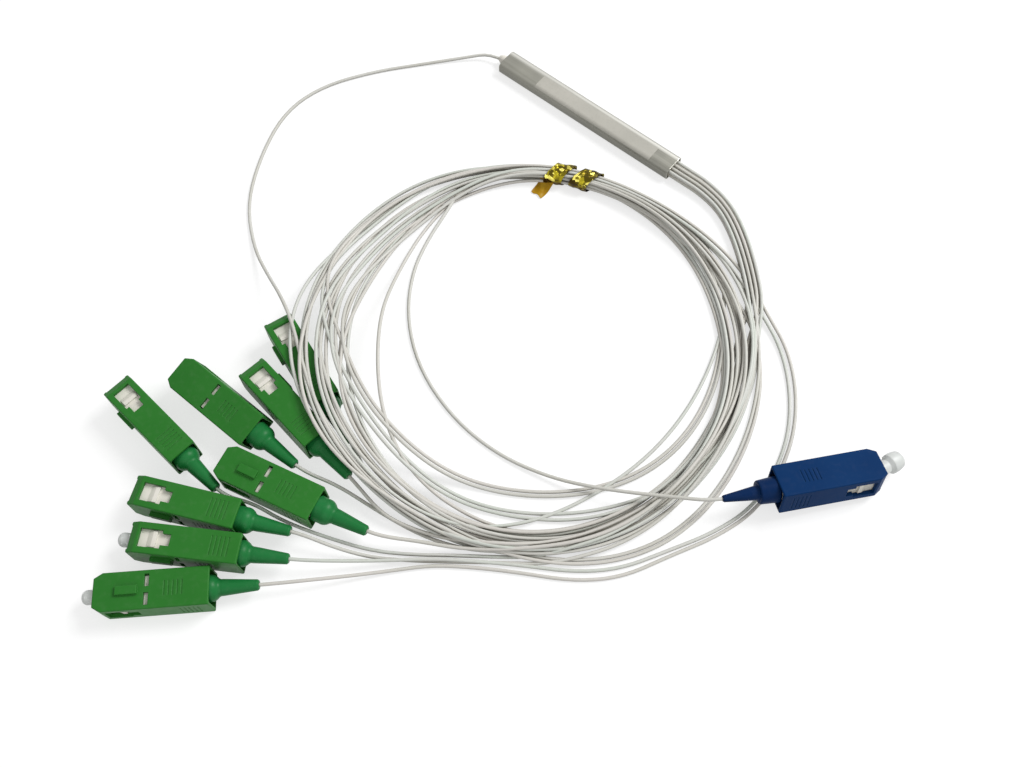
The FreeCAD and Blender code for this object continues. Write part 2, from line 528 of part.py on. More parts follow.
def cord_coil():
    """Outer shape of the wound cords, as one closed ring."""
    rings = [coil_section(angle, *section_at(angle)).Edges[0] for angle in range(0, 360, COIL_STEP)]
    skins = [Part.makeRuledSurface(a, b) for a, b in zip(rings, rings[1:] + rings[:1])]
    return Part.makeSolid(Part.makeShell(skins))


def twist_tie():
    """Foil tie: two flat bands round the bundle and a straight tail that lies on the ground."""
    bands = []
    for angle in TIE_ANGLES:
        r0, r1, z0, z1 = section_at(angle)
        outer = oval_band(r1 - r0, z1 - z0, TIE_GAP + TIE_FOIL)
        band = outer.cut(oval_band(r1 - r0, z1 - z0, TIE_GAP))
        band.rotate(V(0, 0, 0), V(0, 0, 1), TIE_SLANT)
        band.translate(V((r0 + r1) / 2, 0, (z0 + z1) / 2))
        band.rotate(V(0, 0, 0), V(0, 0, 1), angle)
        band.translate(V(COIL_X, COIL_Y, 0))
        bands.append(band)
    return bands


def section_at(angle):
    """Coil section between the two given ones nearest to an angle."""
    for a, b in zip(COIL_SECTIONS, COIL_SECTIONS[1:]):
        if a[0] <= angle <= b[0]:
            t = (angle - a[0]) / (b[0] - a[0])
            t = t * t * (3 - 2 * t)
            return [a[k] + t * (b[k] - a[k]) for k in range(1, 5)]


def oval_band(width, height, grow):
    """Oval bar along Y, a bundle's section made larger all round."""
    ring = Part.Wire(Part.Ellipse(V(0, 0, 0), width / 2 + grow, height / 2 + grow).toShape())
    ring.rotate(V(0, 0, 0), V(1, 0, 0), 90)
    bar = Part.Face(ring).extrude(V(0, TIE_WIDTH, 0))
    bar.translate(V(0, -TIE_WIDTH / 2, 0))
    return bar


def tie_tail():
    """Free end of the tie, lying on the ground beside the bundle."""
    r0, r1, _, _ = section_at(TIE_ANGLES[1])
    turn = math.radians(TIE_ANGLES[1])
    x = COIL_X + (r0 + r1) / 2 * math.cos(turn)
    y = COIL_Y + (r0 + r1) / 2 * math.sin(turn)
    edge, half = y - (r1 - r0) / 2, TIE_TAIL_WIDTH / 2
    return box(x - half, x + half, edge - TIE_TAIL_LENGTH, edge, TIE_TAIL_LOW_Z, TIE_TAIL_LOW_Z + TIE_FOIL)


def wound_parts():
    bands = twist_tie()
    return {"cord_coil": cord_coil(), "twist_tie": Part.Compound(bands + [tie_tail()])}


def main():
    parts = module_parts()
    plugs, exits = connector_parts()
    parts.update(plugs)
    parts.update(cord_parts(exits))
    parts.update(wound_parts())
    for name, shape in parts.items():
        if not shape.isValid():
            print("NOT VALID", name)
        shape.exportStep(f"parts/{name}.step")
    print(len(parts), "parts")
    return parts


main()
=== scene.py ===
"""Fibre splitter with one input and eight outputs: the finishes, cords, tie and label.

All lengths are in the frame's metres, in the splitter tube's own frame: the origin is under the
tube's middle, +X runs towards the eight outputs, and everything lies on the plane z = 0.
Points and sections of the cords are written in millimetres and scaled by MM.
"""
import json
import math
import random

import bpy
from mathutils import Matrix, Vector


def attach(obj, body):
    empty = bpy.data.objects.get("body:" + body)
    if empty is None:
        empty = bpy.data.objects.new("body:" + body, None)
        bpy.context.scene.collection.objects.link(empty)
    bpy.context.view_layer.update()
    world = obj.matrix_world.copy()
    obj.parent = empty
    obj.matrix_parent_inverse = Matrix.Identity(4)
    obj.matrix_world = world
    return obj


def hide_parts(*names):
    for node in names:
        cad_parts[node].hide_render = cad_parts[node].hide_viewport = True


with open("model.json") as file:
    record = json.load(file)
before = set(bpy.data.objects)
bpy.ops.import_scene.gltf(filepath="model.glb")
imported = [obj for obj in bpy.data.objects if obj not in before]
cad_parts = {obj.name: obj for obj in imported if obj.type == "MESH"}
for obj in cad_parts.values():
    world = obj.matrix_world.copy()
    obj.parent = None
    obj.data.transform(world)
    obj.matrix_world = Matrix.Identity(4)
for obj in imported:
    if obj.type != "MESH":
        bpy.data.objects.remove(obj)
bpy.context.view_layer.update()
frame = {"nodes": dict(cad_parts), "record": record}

MM = 0.001
RECORD = frame["record"]
OUTPUTS = [f"output_{k}" for k in range(1, 9)]
CONNECTORS = OUTPUTS + ["input"]

# ---- cords: the tube's comb of holes, the leads from it and the tails to the boots ----
CORD_R = 0.45
CORD_SMOOTHNESS, CORD_ROUNDNESS = 5, 3
LANE_PITCH, ROW_PITCH, ROW_LOW_Z = 1.35, 1.4, 1.3
COMB_START = 27.1
BOOT_SOCKET, BOOT_LEAVE, FERRULE_MARK = 36.3, 40.4, 4.7
SET_BACK = {"output_3": 1.4, "output_4": -0.4, "output_5": 1.5, "output_6": 0.7, "output_7": -0.9,
            "output_8": -1.0, "input": 1.5}
LEAD_MIDDLE = [(30.0, 0.0), (34.0, 0.1), (40.0, 0.3), (48.0, -1.2), (56.0, -6.0), (64.5, -13.4),
               (71.6, -21.0)]
LEAD_SPREAD = [1.0, 1.0, 0.98, 0.94, 0.92, 0.90, 0.88]
LEAD_DROP = [0.0, -0.1, -0.4, -0.7, -0.75, -0.75, -0.7]
INPUT_LEAD = [
    (-28.5, 0.0, 2.0), (-35.2, 0.0, 2.0), (-41.2, -6.0, 1.0), (-49.2, -15.0, 0.45),
    (-58.6, -26.4, 0.45), (-66.6, -40.0, 0.45), (-68.4, -53.5, 0.45), (-63.0, -68.5, 0.45),
    (-54.5, -82.5, 0.45), (-42.5, -91.8, 0.6), (-31.4, -96.4, 3.8), (-22.4, -99.9, 9.5),
    (-14.8, -103.4, 9.9),
]
INPUT_TAIL = [
    (-11.2, -43.5, 1.8), (-9.6, -51.0, 1.3), (-8.2, -60.0, 0.45), (-4.6, -70.5, 0.45),
    (3.4, -81.6, 0.45), (15.6, -90.6, 0.45), (31.5, -95.6, 0.45), (46.5, -95.9, 0.45),
    (60.0, -92.6, 1.2), (70.5, -88.2, 3.2), (79.0, -83.6, 4.5), (86.5, -79.0, 5.3),
]
OUTPUT_TAILS = {
    1: [(43.0, -120.9, 1.4), (34.5, -122.0, 1.9), (27.4, -121.4, 3.2)],
    2: [(50.5, -120.2, 1.3), (42.0, -123.8, 1.6), (34.6, -125.6, 3.0)],
    3: [(65.5, -112.2, 1.9), (56.0, -119.0, 0.7), (45.5, -123.2, 0.45), (33.5, -125.3, 0.9),
        (22.0, -127.0, 3.3)],
    4: [(68.9, -110.6, 0.5), (60.9, -116.9, 0.45), (53.4, -122.6, 0.45), (46.3, -128.2, 0.45),
        (38.2, -133.6, 0.45), (26.6, -138.4, 0.8), (17.5, -141.7, 2.2), (9.6, -143.1, 3.6)],
    5: [(64.5, -112.6, 2.9), (55.0, -119.8, 1.7), (46.0, -124.9, 2.2)],
    6: [(71.0, -111.0, 0.5), (62.2, -117.6, 0.45), (54.4, -123.8, 0.45), (47.0, -129.5, 0.45),
        (39.4, -134.9, 0.9), (31.5, -138.8, 2.9)],
    7: [(75.6, -23.0, 1.2), (83.5, -27.2, 0.6), (91.5, -35.0, 0.45), (98.2, -45.6, 0.45),
        (101.4, -57.0, 0.45), (101.9, -68.0, 0.45), (98.4, -78.6, 0.45), (92.6, -89.0, 0.45),
        (86.6, -99.6, 0.45), (78.6, -107.2, 0.45), (67.6, -114.0, 0.45), (59.6, -119.6, 0.9),
        (51.4, -125.6, 1.4), (41.9, -134.1, 1.6), (35.0, -140.4, 3.2)],
    8: [(76.8, -22.2, 1.2), (84.8, -26.2, 0.6), (92.9, -34.2, 0.45), (99.4, -45.0, 0.45),
        (102.5, -56.8, 0.45), (103.0, -68.2, 0.45), (99.4, -79.2, 0.45), (93.6, -89.9, 0.45),
        (88.1, -101.0, 0.45), (79.8, -109.0, 0.45), (68.4, -115.6, 0.45), (59.4, -121.4, 0.5),
        (51.6, -127.2, 0.6), (45.2, -134.2, 0.7), (39.0, -141.2, 1.8), (32.9, -147.9, 3.2)],
}

# ---- coil: centre, and inner radius, outer radius and height of its underside by angle ----
COIL_X, COIL_Y = 31.0, -67.0
COIL_STEP = 10
COIL_SECTIONS = [
    (0, 50.9, 57.9, 0.0), (20, 51.6, 59.2, 0.0), (35, 49.4, 61.4, 0.0), (50, 48.0, 63.6, 0.0),
    (65, 48.8, 60.8, 0.0), (80, 49.5, 56.4, 0.1), (97, 48.9, 53.7, 0.36), (120, 48.9, 53.7, 0.36),
    (135, 47.8, 55.4, 0.1), (150, 45.6, 56.8, 0.0), (170, 43.0, 57.6, 0.0), (188, 42.3, 58.5, 0.6),
    (202, 40.9, 59.3, 4.8), (214, 40.8, 59.8, 9.6), (226, 43.0, 60.2, 9.6), (258, 47.2, 58.9, 9.7),
    (271, 48.7, 57.3, 5.0), (281, 49.4, 56.8, 0.4), (300, 50.9, 57.9, 0.0), (320, 51.5, 58.4, 0.0),
    (340, 51.0, 59.4, 0.0), (360, 50.9, 57.9, 0.0),
]
WOUND = 720             # degrees that each cord covers in whole turns
ENDS_APART = 24         # degrees from a cord's ends within which it keeps its own radius
FIRST_STATION = 0.4     # least distance from the lead to the first station, in steps
LAST_STATION = 4        # least distance from the last station to the tail, in degrees
STATION_LIMIT = 2000    # degrees that no cord's angle reaches
SPREAD_ANGLES = (20, 330, 290, 250, 210, 175, 150)
LANE_DRIFT = 0.09
LANE_SEED = 23
INPUT_RANK = 4.5        # the input is wound between outputs 4 and 5
STACK_SHARE = 0.92      # share of the clear height by which a strand is raised over another

# The tie: how many strands each row holds there, and how far apart strands and rows lie.
TIE_ANGLES = (109.6, 117.9)
TIE_MIDDLE, TIE_GATHER, TIE_HOLD = 113.8, 36.0, 1.25
TIE_ROWS = (4, 5, 5, 4)
TIE_LANE_STEP, TIE_ROW_STEP, TIE_LIFT = 0.95, 0.84, 0.1
TIED_HEIGHT = 2 * CORD_R + 0.2 + (len(TIE_ROWS) - 1) * TIE_ROW_STEP

# Turns that stand clear of the bundle: (output, turn) -> radius at angles counted down from the
# start of that turn's sweep, which runs from 50 degrees down to -310.
STRAY_FADE = 30
STRAYS = {
    (4, 1): [(40, 50.0), (25, 46.6), (10, 44.6), (-6, 43.9), (-20, 44.3), (-32, 45.2), (-45, 48.0),
             (-58, 51.4)],
    (2, 1): [(42, 50.6), (26, 49.2), (6, 47.8), (-9, 46.5), (-25, 44.2), (-45, 41.6), (-61, 40.8),
             (-77, 41.0), (-91, 41.6), (-105, 42.7), (-119, 43.5), (-135, 44.6)],
    (6, 1): [(46, 51.8), (26, 50.2), (6, 48.9), (-9, 47.6), (-25, 45.4), (-45, 42.8), (-61, 41.9),
             (-77, 42.1), (-91, 42.7), (-105, 43.7), (-119, 44.6), (-135, 45.8)],
    (1, 1): [(-20, 51.0), (-36, 48.2), (-52, 46.6), (-66, 46.2), (-79, 45.5), (-91, 44.9),
             (-104, 44.8), (-118, 45.4), (-132, 47.2)],
    (7, 1): [(-24, 52.4), (-40, 49.6), (-54, 47.4), (-68, 47.2), (-79, 46.6), (-91, 46.1),
             (-104, 46.1), (-118, 46.9), (-132, 49.0)],
    (5, 0): [(-62, 50.5), (-74, 47.4), (-86, 47.6), (-98, 44.2), (-112, 39.8), (-125, 37.2),
             (-140, 36.0), (-156, 36.2), (-172, 38.0), (-187, 41.2), (-202, 45.6), (-216, 49.6)],
    (3, 0): [(40, 60.6), (30, 60.0), (18, 60.9), (8, 61.3), (-4, 61.9), (-14, 63.2), (-22, 63.6),
             (-30, 62.1), (-38, 59.8), (-46, 58.2)],
    (8, 1): [(38, 61.0), (28, 61.0), (18, 61.9), (8, 62.3), (-4, 62.9), (-14, 64.2), (-22, 64.6),
             (-30, 63.2), (-38, 60.9), (-46, 59.2)],
}


def smooth(t):
    """Ease from 0 to 1."""
    t = min(max(t, 0.0), 1.0)
    return t * t * (3 - 2 * t)


def along_keys(keys, at):
    """Value of a smooth curve through keys (place, value), whose places rise."""
    if at <= keys[0][0]:
        return keys[0][1]
    if at >= keys[-1][0]:
        return keys[-1][1]
    n = next(i for i in range(len(keys) - 1) if at <= keys[i + 1][0])
    slopes = []
    for i in (n, n + 1):
        (a, va), (b, vb) = keys[max(i - 1, 0)], keys[min(i + 1, len(keys) - 1)]
        slopes.append((vb - va) / (b - a))
    (a, va), (b, vb) = keys[n], keys[n + 1]
    t = (at - a) / (b - a)
    rise = (b - a) * (slopes[0] * t * (1 - t) ** 2 - slopes[1] * t * t * (1 - t))
    return va + (vb - va) * smooth(t) + rise


def section_at(angle):
    """Inner radius, outer radius and underside height of the coil at an angle in degrees."""
    angle %= 360
    for a, b in zip(COIL_SECTIONS, COIL_SECTIONS[1:]):
        if a[0] <= angle <= b[0]:
            t = smooth((angle - a[0]) / (b[0] - a[0]))
            return [a[k] + t * (b[k] - a[k]) for k in (1, 2, 3)]


def polar(point):
    """Angle in degrees and radius of a point about the coil's centre."""
    x, y = point[0] - COIL_X, point[1] - COIL_Y
    return math.degrees(math.atan2(y, x)), math.hypot(x, y)


def on_coil(angle, radius, z):
    turn = math.radians(angle)
    return (COIL_X + radius * math.cos(turn), COIL_Y + radius * math.sin(turn), z)


def lane_places():
    """Place (y, z) of each output's hole, along the upper row and then the lower."""
    return [((1.5 - lane) * LANE_PITCH, row) for row in (ROW_LOW_Z + ROW_PITCH, ROW_LOW_Z)
            for lane in range(4)]


def output_lead(number):
    """Points of one output from its hole in the comb to the coil."""
    lane, row = lane_places()[number - 1]
    last = len(LEAD_MIDDLE) - 1
    points = []
    for n, (x, y) in enumerate(LEAD_MIDDLE):
        x0, y0 = LEAD_MIDDLE[max(n - 1, 0)]
        x1, y1 = LEAD_MIDDLE[min(n + 1, last)]
        along = Vector((x1 - x0, y1 - y0)).normalized()
        side = lane * LEAD_SPREAD[n]
        points.append((x - along.y * side, y + along.x * side, row + LEAD_DROP[n]))
    points[0] = (COMB_START, lane, row)
    points[1] = (points[1][0], lane, row)
    return points


def boot_end(name):
    """Two points on a connector's axis: just outside its boot, and in the boot's socket."""
    mount = next(m for m in RECORD["mounts"] if m["name"] == name + "_ferrule")
    mark = Vector(mount["pos_m"]) / MM
    axis = Vector(mount["axis"])
    back = SET_BACK.get(name, 0.0) - FERRULE_MARK
    return [tuple(mark - axis * (reach + back)) for reach in (BOOT_LEAVE, BOOT_SOCKET)]


def make_strand(number, lead, tail):
    """One cord's way round the coil. Its angles run on past a whole turn, as the cord does.

    The outputs run clockwise and the input, which is number 0, the other way.
    """
    way = 1 if number == 0 else -1
    begin, finish = polar(lead[-1]), polar(tail[0])
    start = begin[0] % 360 if way > 0 else begin[0]
    end = finish[0] + way * WOUND
    before = start - way * abs(begin[0] - polar(lead[-2])[0])
    after = end + way * abs(finish[0] - polar(tail[1])[0])
    if way > 0:
        first = math.ceil(start / COIL_STEP + FIRST_STATION)
    else:
        first = math.floor(start / COIL_STEP - FIRST_STATION)
    stations = [a for a in range(first * COIL_STEP, way * STATION_LIMIT, way * COIL_STEP)
                if way * (end - a) > LAST_STATION]
    ends = [(before, polar(lead[-2])[1]), (start, begin[1]), (end, finish[1]),
            (after, polar(tail[1])[1])]
    return {"name": f"output_cord_{number}" if number else "input_cord",
            "connector": f"output_{number}" if number else "input", "number": number,
            "lead": lead, "tail": tail, "start": start, "end": end, "ends": ends, "way": way,
            "stations": stations}


def lane_at(angle, radius):
    """Place of a radius across the bundle, from 0 at its inner edge to 1 at its outer one."""
    inner, outer, _ = section_at(angle)
    return (radius - inner - CORD_R) / (outer - inner - 2 * CORD_R)


def stray_keys(strand, angle):
    """The keys of each stray turn that a strand may be on at an angle, and the angle in it."""
    turn = int(abs(angle - strand["start"]) // 360)
    found = [(STRAYS[strand["number"], t], angle + 360 * t) for t in (turn - 1, turn, turn + 1)
             if (strand["number"], t) in STRAYS]
    return [(keys[::-1], local) for keys, local in found]


def strays_from(strand, angle):
    """Whether a strand is clear of the bundle at an angle."""
    return any(keys[0][0] < local < keys[-1][0] for keys, local in stray_keys(strand, angle))


def share_lanes(strands):
    """Spreads all passes evenly over the bundle where it is wide, and lists each strand's lanes."""
    draw = random.Random(LANE_SEED)
    crowd = {angle: [] for angle in SPREAD_ANGLES}
    for strand in strands:
        low, high = sorted((strand["start"], strand["end"]))
        homes = [draw.random() for _ in range(4)]
        strand["keys"] = [(a, lane_at(a, radius)) for a, radius in strand["ends"]]
        for angle in SPREAD_ANGLES:
            for a in range(angle - 4 * 360, angle + 4 * 360, 360):
                drift = draw.gauss(0, LANE_DRIFT)
                if low + ENDS_APART < a < high - ENDS_APART and not strays_from(strand, a):
                    tied = (strand["start"] - TIE_MIDDLE) // 360
                    loop = abs(int((a - TIE_MIDDLE) // 360 - tied))
                    crowd[angle].append((homes[loop] + drift, strand["number"], a, strand))
    for passes in crowd.values():
        for rank, (_, _, a, strand) in enumerate(sorted(passes, key=lambda p: p[:3])):
            strand["keys"].append((a, (rank + 0.5) / len(passes)))
    for strand in strands:
        strand["keys"].sort()


def lane_radius(strand, angle):
    """Radius of a strand at a station, from its lane across the bundle and its stray turns."""
    inner, outer, _ = section_at(angle)
    lane = along_keys(strand["keys"], angle)
    radius = inner + CORD_R + lane * (outer - inner - 2 * CORD_R)
    for keys, local in stray_keys(strand, angle):
        radius = stray_radius(keys, local, radius)
    return radius


def stray_radius(keys, angle, radius):
    """Radius of a turn that leaves the bundle between its first and last given angles."""
    (a0, r0), (a1, r1), (b0, s0), (b1, s1) = keys[0], keys[1], keys[-2], keys[-1]
    keys = ([(a0 - STRAY_FADE, r0 - 0.5 * STRAY_FADE * (r1 - r0) / (a1 - a0))] + keys
            + [(b1 + STRAY_FADE, s1 + 0.5 * STRAY_FADE * (s1 - s0) / (b1 - b0))])
    out = smooth((angle - keys[0][0]) / STRAY_FADE)
    back = smooth((keys[-1][0] - angle) / STRAY_FADE)
    return radius + (along_keys(keys, angle) - radius) * out * back


def pile(strands):
    """Stacks every strand on those wound before it, station by station round the coil.

    It doesn't keep them apart between stations or after they are eased, so crossing strands sink
    into each other.
    """
    places = {}
    for strand in strands:
        strand["radius"] = {a: lane_radius(strand, a) for a in strand["stations"]}
        strand["z"] = {}
        for a in strand["stations"]:
            turn = int(abs(a - strand["start"]) // 360)
            rank = (turn, strand["number"] or INPUT_RANK)
            places.setdefault(a % 360, []).append((rank, strand, a))
    for wrapped, crowd in places.items():
        floor = section_at(wrapped)[2] + CORD_R
        laid = []
        for rank, strand, a in sorted(crowd, key=lambda c: c[0]):
            radius, z = strand["radius"][a], floor
            for other, height in laid:
                gap = abs(other - radius)
                if gap < 2 * CORD_R:
                    z = max(z, height + STACK_SHARE * math.sqrt((2 * CORD_R) ** 2 - gap ** 2))
            laid.append((radius, z))
            strand["z"][a] = z
    return places


def gather(places):
    """Packs the strands into close rows where the tie holds them, and eases them in and out."""
    for wrapped, crowd in places.items():
        away = abs((wrapped - TIE_MIDDLE + 180) % 360 - 180)
        hold = smooth(TIE_HOLD * (1 - away / TIE_GATHER))
        if hold <= 0:
            continue
        inner, outer, low = section_at(wrapped)
        middle = (inner + outer) / 2
        crowd = sorted(crowd, key=lambda c: c[0])
        first = 0
        for row, count in enumerate(TIE_ROWS):
            members = sorted(crowd[first:first + count], key=lambda c: c[1]["radius"][c[2]])
            first += count
            for n, (_, strand, a) in enumerate(members):
                radius = middle + (n - (len(members) - 1) / 2) * TIE_LANE_STEP
                height = low + CORD_R + TIE_LIFT + row * TIE_ROW_STEP
                strand["radius"][a] += (radius - strand["radius"][a]) * hold
                strand["z"][a] += (height - strand["z"][a]) * hold


def eased(values, rounds=2):
    """Values along a strand, each averaged with its neighbours."""
    for _ in range(rounds):
        padded = values[:1] + values + values[-1:]
        values = [0.25 * a + 0.5 * b + 0.25 * c for a, b, c in zip(padded, padded[1:], padded[2:])]
    return values


def cord_points(strand):
    """Control points of one whole cord: lead, turns of the coil and tail, in millimetres."""
    heights = eased([strand["z"][a] for a in strand["stations"]])
    radii = eased([strand["radius"][a] for a in strand["stations"]])
    turns = [on_coil(a, r, z) for a, r, z in zip(strand["stations"], radii, heights)]
    return strand["lead"] + turns + strand["tail"] + boot_end(strand["connector"])


def make_cord(strand, finish):
    """One open smooth spline from the splitter tube to the connector's boot."""
    curve = bpy.data.curves.new(strand["name"] + "_line", "CURVE")
    curve.dimensions = "3D"
    points = cord_points(strand)
    spline = curve.splines.new("NURBS")
    spline.points.add(len(points) - 1)
    for place, point in zip(spline.points, points):
        place.co = (point[0] * MM, point[1] * MM, point[2] * MM, 1.0)
    spline.order_u = 3
    spline.use_endpoint_u = True
    spline.resolution_u = curve.resolution_u = CORD_SMOOTHNESS
    curve.bevel_depth = CORD_R * MM
    curve.bevel_resolution = CORD_ROUNDNESS
    curve.use_fill_caps = True
    curve.materials.append(finish)
    piece = bpy.data.objects.new(strand["name"] + "_line", curve)
    bpy.context.scene.collection.objects.link(piece)
    return piece


def line_length(piece):
    """Length of a cord's own line, in metres."""
    bare = piece.data.copy()
    bare.bevel_depth = 0.0
    probe = bpy.data.objects.new("probe", bare)
    mesh = bpy.data.meshes.new_from_object(probe)
    spots = [v.co.copy() for v in mesh.vertices]
    bpy.data.meshes.remove(mesh)
    bpy.data.objects.remove(probe)
    return sum((b - a).length for a, b in zip(spots, spots[1:]))


def lay_cords(jackets):
    """Winds the nine cords into the coil and hides the nodes that each one stands in for."""
    strands = [make_strand(k, output_lead(k), OUTPUT_TAILS[k]) for k in range(1, 9)]
    strands.append(make_strand(0, INPUT_LEAD, INPUT_TAIL))
    share_lanes(strands)
    gather(pile(strands))
    for strand in strands:
        piece = make_cord(strand, jackets[strand["number"] % len(jackets)])
        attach(piece, "root")
        nodes = [strand["name"]] + (["cord_coil"] if strand["number"] == 0 else [])
        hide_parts(*nodes)
        ends = [strand["connector"] + end
                for end in ("_grip", "_plug_frame", "_ferrule", "_boot", "_dust_cap")]
        on_it = [end for end in ends if end in frame["nodes"]]
        if strand["number"] == 0:
            on_it.append("input_end_plug")
        line_length(piece)


# ---- finishes: shared effects ----
def start_group(name, inputs, outputs):
    """An empty shared effect with named inputs (name, kind, value) and outputs (name, kind)."""
    group = bpy.data.node_groups.new(name, "ShaderNodeTree")
    for label, kind, value in inputs:
        socket = group.interface.new_socket(label, in_out="INPUT", socket_type="NodeSocket" + kind)
        socket.default_value = value
    for label, kind in outputs:
        group.interface.new_socket(label, in_out="OUTPUT", socket_type="NodeSocket" + kind)
    given, out = group.nodes.new("NodeGroupInput"), group.nodes.new("NodeGroupOutput")
    return group, given.outputs, out.inputs


def add(tree, kind, links=None, **settings):
    """A new node of a tree, with its settings and what feeds its sockets."""
    made = tree.nodes.new("ShaderNode" + kind)
    for key, value in settings.items():
        setattr(made, key, value)
    for socket, source in (links or {}).items():
        if isinstance(source, bpy.types.NodeSocket):
            tree.links.new(source, made.inputs[socket])
        else:
            made.inputs[socket].default_value = source
    return made.outputs


def worked(tree, operation, a, b, clamp=False):
    """Result of a sum, difference or product of two values."""
    return add(tree, "Math", {0: a, 1: b}, operation=operation, use_clamp=clamp)[0]


def blended(tree, mask, below, above):
    """Colour that goes from one to the other with a mask."""
    return add(tree, "MixRGB", {0: mask, 1: below, 2: above}, blend_type="MIX")[0]


def spread(tree, value, low, high, to_low=0.0, to_high=1.0):
    """A value whose range from low to high is stretched over another one, and kept in it."""
    return add(tree, "MapRange", {0: value, 1: low, 2: high, 3: to_low, 4: to_high})[0]


def surface_noise(tree, scale, detail=2.0, stretch=None):
    """Noise in the piece's own place, as a value, with an optional stretch along an axis."""
    where = add(tree, "TexCoord")["Object"]
    if stretch:
        where = add(tree, "Mapping", {"Vector": where, "Scale": stretch})[0]
    return add(tree, "TexNoise", {"Vector": where, "Scale": scale, "Detail": detail})


def make_tone_drift():
    """A colour that drifts slowly towards another one over the surface."""
    group, given, out = start_group("tone_drift", [
        ("Color", "Color", (1, 1, 1, 1)), ("Other Color", "Color", (0, 0, 0, 1)),
        ("Scale", "Float", 60.0), ("Amount", "Float", 0.5)], [("Color", "Color")])
    noise = surface_noise(group, given["Scale"], 3.0)
    mask = worked(group, "MULTIPLY", spread(group, noise[0], 0.35, 0.65), given["Amount"])
    group.links.new(blended(group, mask, given["Color"], given["Other Color"]), out["Color"])
    return group


def make_fine_grain():
    """The fine skin of a moulding, an extrusion or a film."""
    group, given, out = start_group("fine_grain", [("Scale", "Float", 3000.0)],
                                    [("Height", "Float"), ("Fleck", "Float")])
    group.links.new(surface_noise(group, given["Scale"], 3.0)[0], out["Height"])
    half = worked(group, "MULTIPLY", given["Scale"], 0.23)
    fleck = spread(group, surface_noise(group, half, 4.0)[0], 0.4, 0.7)
    group.links.new(fleck, out["Fleck"])
    return group


def make_worn_edges():
    """Where handling has rubbed the edges: a mask, and the surface turned softly at its edges."""
    group, given, out = start_group("worn_edges", [
        ("Width", "Float", 0.0002), ("Patchiness", "Float", 0.5)],
        [("Mask", "Float"), ("Normal", "Vector")])
    soft = add(group, "Bevel", {"Radius": given["Width"]}, samples=6)[0]
    flat = add(group, "NewGeometry")["Normal"]
    same = add(group, "VectorMath", {0: soft, 1: flat}, operation="DOT_PRODUCT")["Value"]
    edge = spread(group, same, 0.985, 0.88)
    patch = spread(group, surface_noise(group, 420.0, 4.0)[0], 0.35, 0.62)
    rubbed = worked(group, "ADD", worked(group, "MULTIPLY", patch, given["Patchiness"]),
                    worked(group, "SUBTRACT", 1.0, given["Patchiness"]))
    group.links.new(worked(group, "MULTIPLY", edge, rubbed, True), out["Mask"])
    group.links.new(soft, out["Normal"])
    return group


def make_settled_dust():
    """Dust and handling marks on what faces up."""
    group, given, out = start_group("settled_dust", [
        ("Scale", "Float", 500.0), ("Amount", "Float", 0.1)], [("Mask", "Float")])
    up = add(group, "SeparateXYZ", {0: add(group, "NewGeometry")["Normal"]})["Z"]
    lying = spread(group, up, 0.2, 0.9)
    specks = spread(group, surface_noise(group, given["Scale"], 6.0)[0], 0.5, 0.72)
    amount = worked(group, "MULTIPLY", lying, worked(group, "MULTIPLY", specks, given["Amount"]))
    group.links.new(amount, out["Mask"])
    return group


def make_creases():
    """Crumpled film: a tone for each small facet, used to paint the light it catches, and the
    height of the creases.
    """
    group, given, out = start_group("film_creases", [("Scale", "Float", 900.0)],
                                    [("Facet", "Float"), ("Height", "Float")])
    where = add(group, "TexCoord")["Object"]
    facets = add(group, "TexVoronoi", {"Vector": where, "Scale": given["Scale"]}, feature="F1")
    tone = add(group, "SeparateColor", {0: facets["Color"]})[0]
    group.links.new(tone, out["Facet"])
    ridge = add(group, "TexVoronoi", {"Vector": where, "Scale": given["Scale"]},
                feature="DISTANCE_TO_EDGE")
    tilt = worked(group, "MULTIPLY", facets["Distance"], worked(group, "SUBTRACT", tone, 0.3))
    group.links.new(worked(group, "ADD", ridge["Distance"], tilt), out["Height"])
    return group


def make_crevice():
    """Shade that gathers between pieces that lie close together."""
    group, given, out = start_group("crevice_shade", [("Distance", "Float", 0.0012)],
                                    [("Mask", "Float")])
    near = add(group, "AmbientOcclusion", {"Distance": given["Distance"]}, samples=4,
               only_local=False)
    group.links.new(spread(group, near["AO"], 0.75, 0.2), out["Mask"])
    return group


def use(tree, group, **values):
    """Places a shared effect in a material, with its own values."""
    made = tree.nodes.new("ShaderNodeGroup")
    made.node_tree = group
    for key, value in values.items():
        socket = made.inputs[key.replace("_", " ")]
        if isinstance(value, bpy.types.NodeSocket):
            tree.links.new(value, socket)
        else:
            socket.default_value = value
    return made.outputs


def rgba(colour):
    return (*colour, 1.0)


def start_material(name, **sockets):
    """A material and its shader, whose constant values are set on the shader itself."""
    material = bpy.data.materials.new(name)
    material.use_nodes = True
    tree = material.node_tree
    shader = tree.nodes["Principled BSDF"]
    for socket, value in sockets.items():
        shader.inputs[socket.replace("_", " ")].default_value = value
    return material, tree, shader.inputs


# In metres: the depth of the mouldings' grain, how near cords lie to get painted shade from each
# other, where across the tube its near flank gets painted shade and its far top edge a painted
# highlight, and the heights between which the foil gets painted shade.
MOULD_GRAIN_DEPTH, PAINTED_SHADE_REACH = 0.000004, 0.0020
PAINTED_FLANK_SHADE = (-0.0028, -0.0034)
PAINTED_HIGHLIGHT_BEGIN, PAINTED_HIGHLIGHT_END = (0.0012, 0.0021), (0.0031, 0.0024)
PAINTED_FOIL_SHADE = (0.0037, 0.0020)
SHEEN_CHANGE, PAINTED_SHADE_AMOUNT = 0.03, 0.66
EFFECTS = {}


def make_effects():
    EFFECTS.update(drift=make_tone_drift(), grain=make_fine_grain(), edges=make_worn_edges(),
                   dust=make_settled_dust(), creases=make_creases(), crevice=make_crevice())


